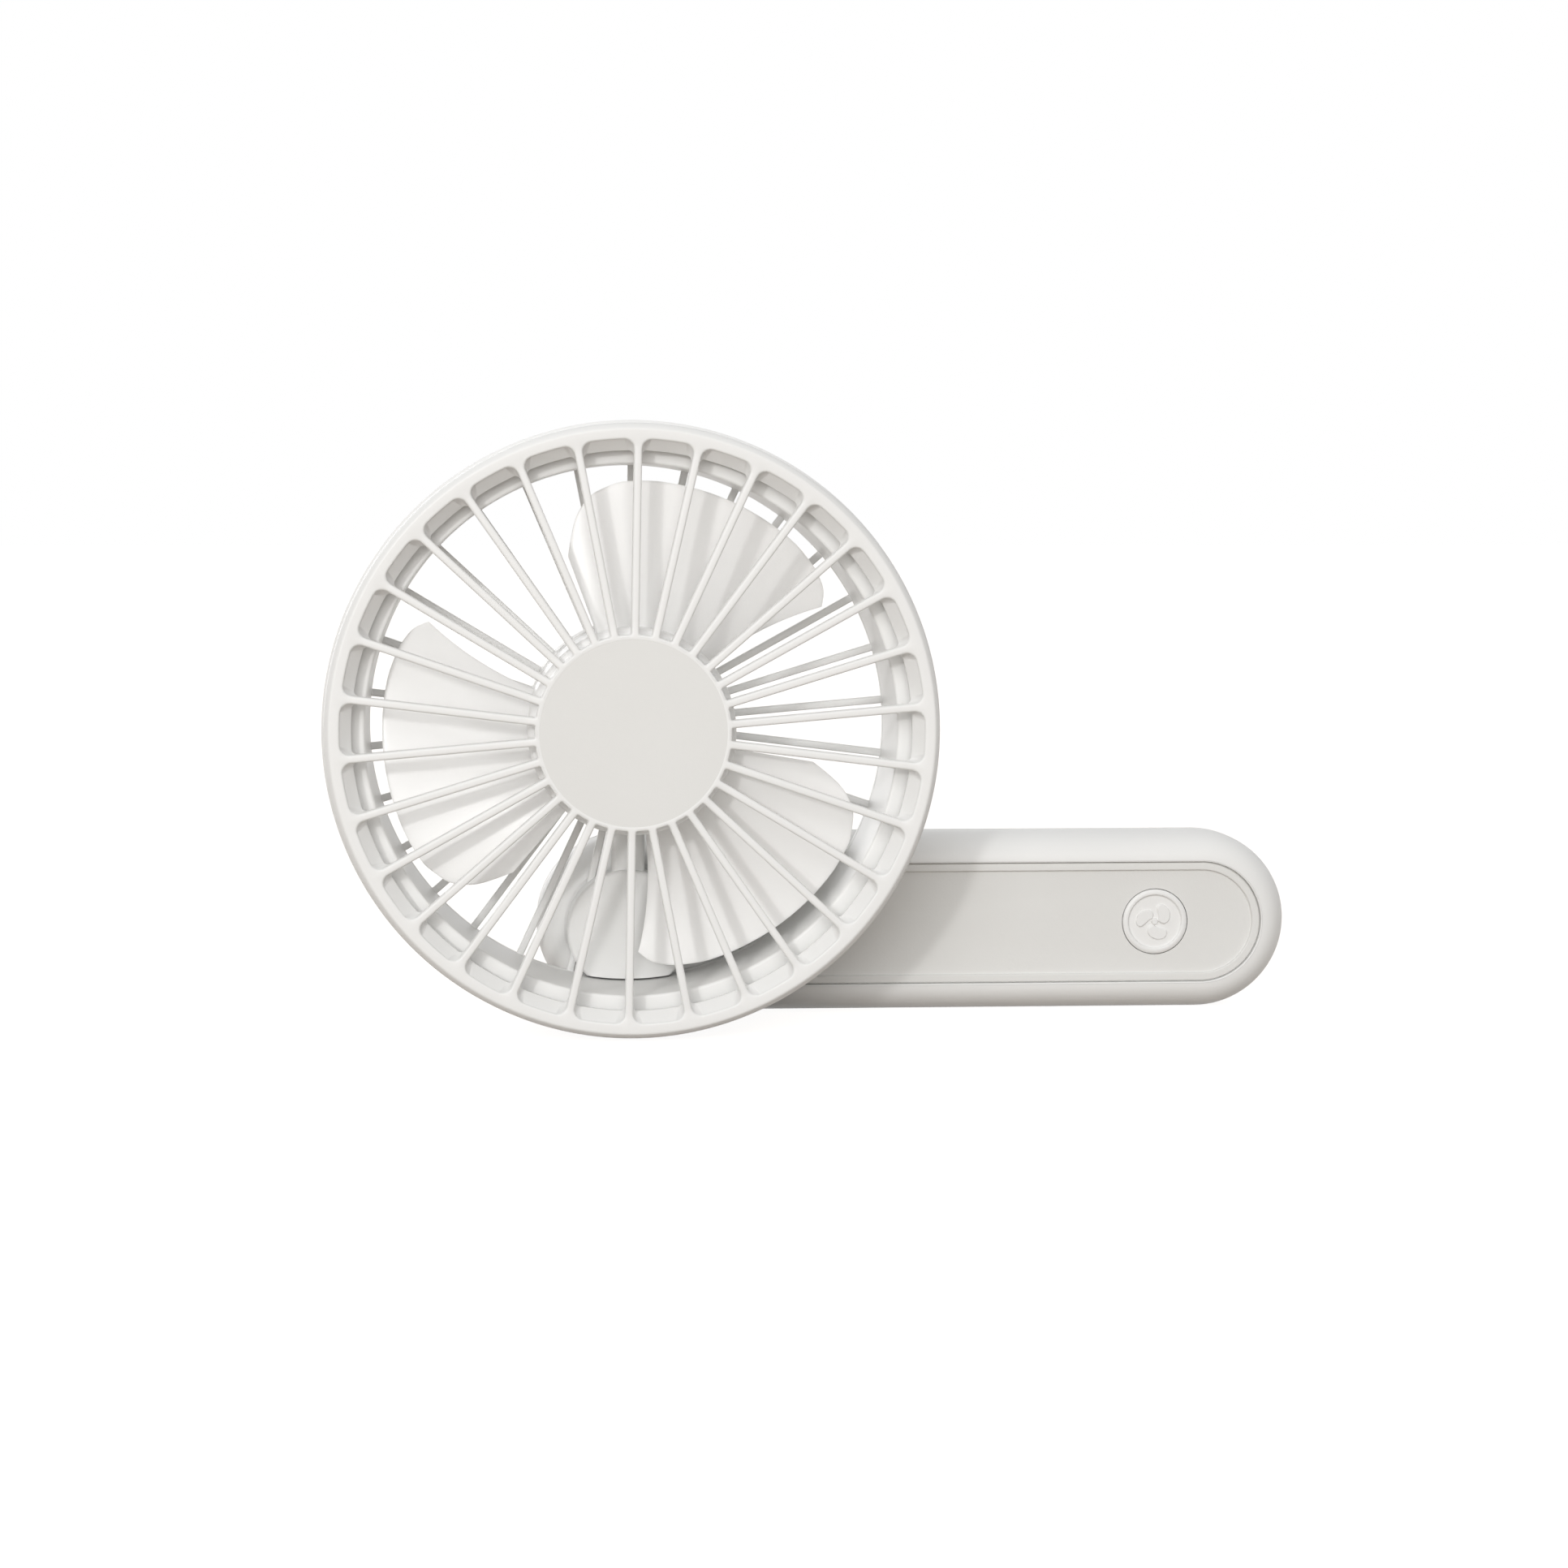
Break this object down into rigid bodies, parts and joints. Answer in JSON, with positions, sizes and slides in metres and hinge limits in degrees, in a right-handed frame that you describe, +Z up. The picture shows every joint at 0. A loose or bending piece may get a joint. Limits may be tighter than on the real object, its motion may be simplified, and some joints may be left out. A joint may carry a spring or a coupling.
{
  "type": "usb fan",
  "caption": "Folding pocket fan: a round ribbed head on a flat rechargeable handle that turns at one end, with a push button and a charging inlet.",
  "frame": {"origin": "centre of the flat strip along the handle's lower side, on which the fan stands", "axes": "+Z up, +X along the handle from the pivot to the charging inlet, the fan blows towards -Y and the handle's back faces +Y"},
  "size_m": [0.1533, 0.0416, 0.0936],
  "materials": {
    "white_shell": "fine satin moulding",
    "pale_panel": "very fine matte texture",
    "fan_white": "smooth moulding",
    "steel": "bright zinc plate",
    "black_steel": "blackened steel",
    "copper_wire": "enamelled copper wire",
    "magnet_grey": "bonded ferrite",
    "circuit_green": "solder mask over glass laminate",
    "black_plastic": "moulded epoxy",
    "battery_foil": "laminated foil",
    "foam_tape": "closed-cell foam",
    "nylon": "natural nylon",
    "lead_black": "wire insulation",
    "lead_red": "wire insulation"
  },
  "bodies": {
    "handle": {"handle_front_shell": "white_shell", "handle_back_shell": "white_shell", "front_panel": "pale_panel", "handle_screw_1": "steel", "handle_screw_2": "steel", "handle_screw_3": "steel", "handle_screw_4": "steel", "handle_screw_5": "steel", "circuit_board": "circuit_green", "board_screw_1": "steel", "board_screw_2": "steel", "charge_coil": "black_plastic", "charge_chip": "black_plastic", "capacitor_1": "black_plastic", "capacitor_2": "black_plastic", "tact_switch": "steel", "usb_c_socket": "steel", "battery_cell": "battery_foil", "battery_pad": "foam_tape", "pivot_washer": "nylon", "spring_washer": "steel", "handle_lead": "lead_black", "battery_lead_red": "lead_red", "battery_lead_black": "lead_black"},
    "head": {"front_grille": "white_shell", "front_hub_cap": "pale_panel", "head_shell": "white_shell", "rear_guard": "white_shell", "guard_screw_1": "steel", "guard_screw_2": "steel", "guard_screw_3": "steel", "guard_screw_4": "steel", "guard_screw_5": "steel", "guard_screw_6": "steel", "motor_bracket": "nylon", "front_bearing": "steel", "rear_bearing": "steel", "stator_core": "black_steel", "stator_coils": "copper_wire", "motor_board": "circuit_green", "bracket_screw_1": "steel", "bracket_screw_2": "steel", "bracket_screw_3": "steel", "pivot_retainer": "steel", "pivot_screw_1": "steel", "pivot_screw_2": "steel", "pivot_screw_3": "steel", "head_lead": "lead_black"},
    "fan": {"impeller": "fan_white", "rotor_cup": "steel", "rotor_magnet": "magnet_grey", "motor_shaft": "steel", "shaft_clip": "black_steel"},
    "button": {"power_button": "white_shell"}
  },
  "joints": [
    {"name": "head_pivot", "type": "hinge", "parent": "handle", "child": "head", "pos_m": [-0.0461, -0.0078, 0.0143], "axis": [0, 1, 0], "range_deg": [-90, 90]},
    {"name": "fan_spin", "type": "hinge", "parent": "head", "child": "fan", "pos_m": [-0.0461, -0.0236, 0.0468], "axis": [0, -1, 0], "continuous": true},
    {"name": "button_press", "type": "slide", "parent": "handle", "child": "button", "axis": [0, 1, 0], "range_m": [0, 0.0005], "stiffness_N_per_m": 400, "springref_m": -0.001}
  ]
}
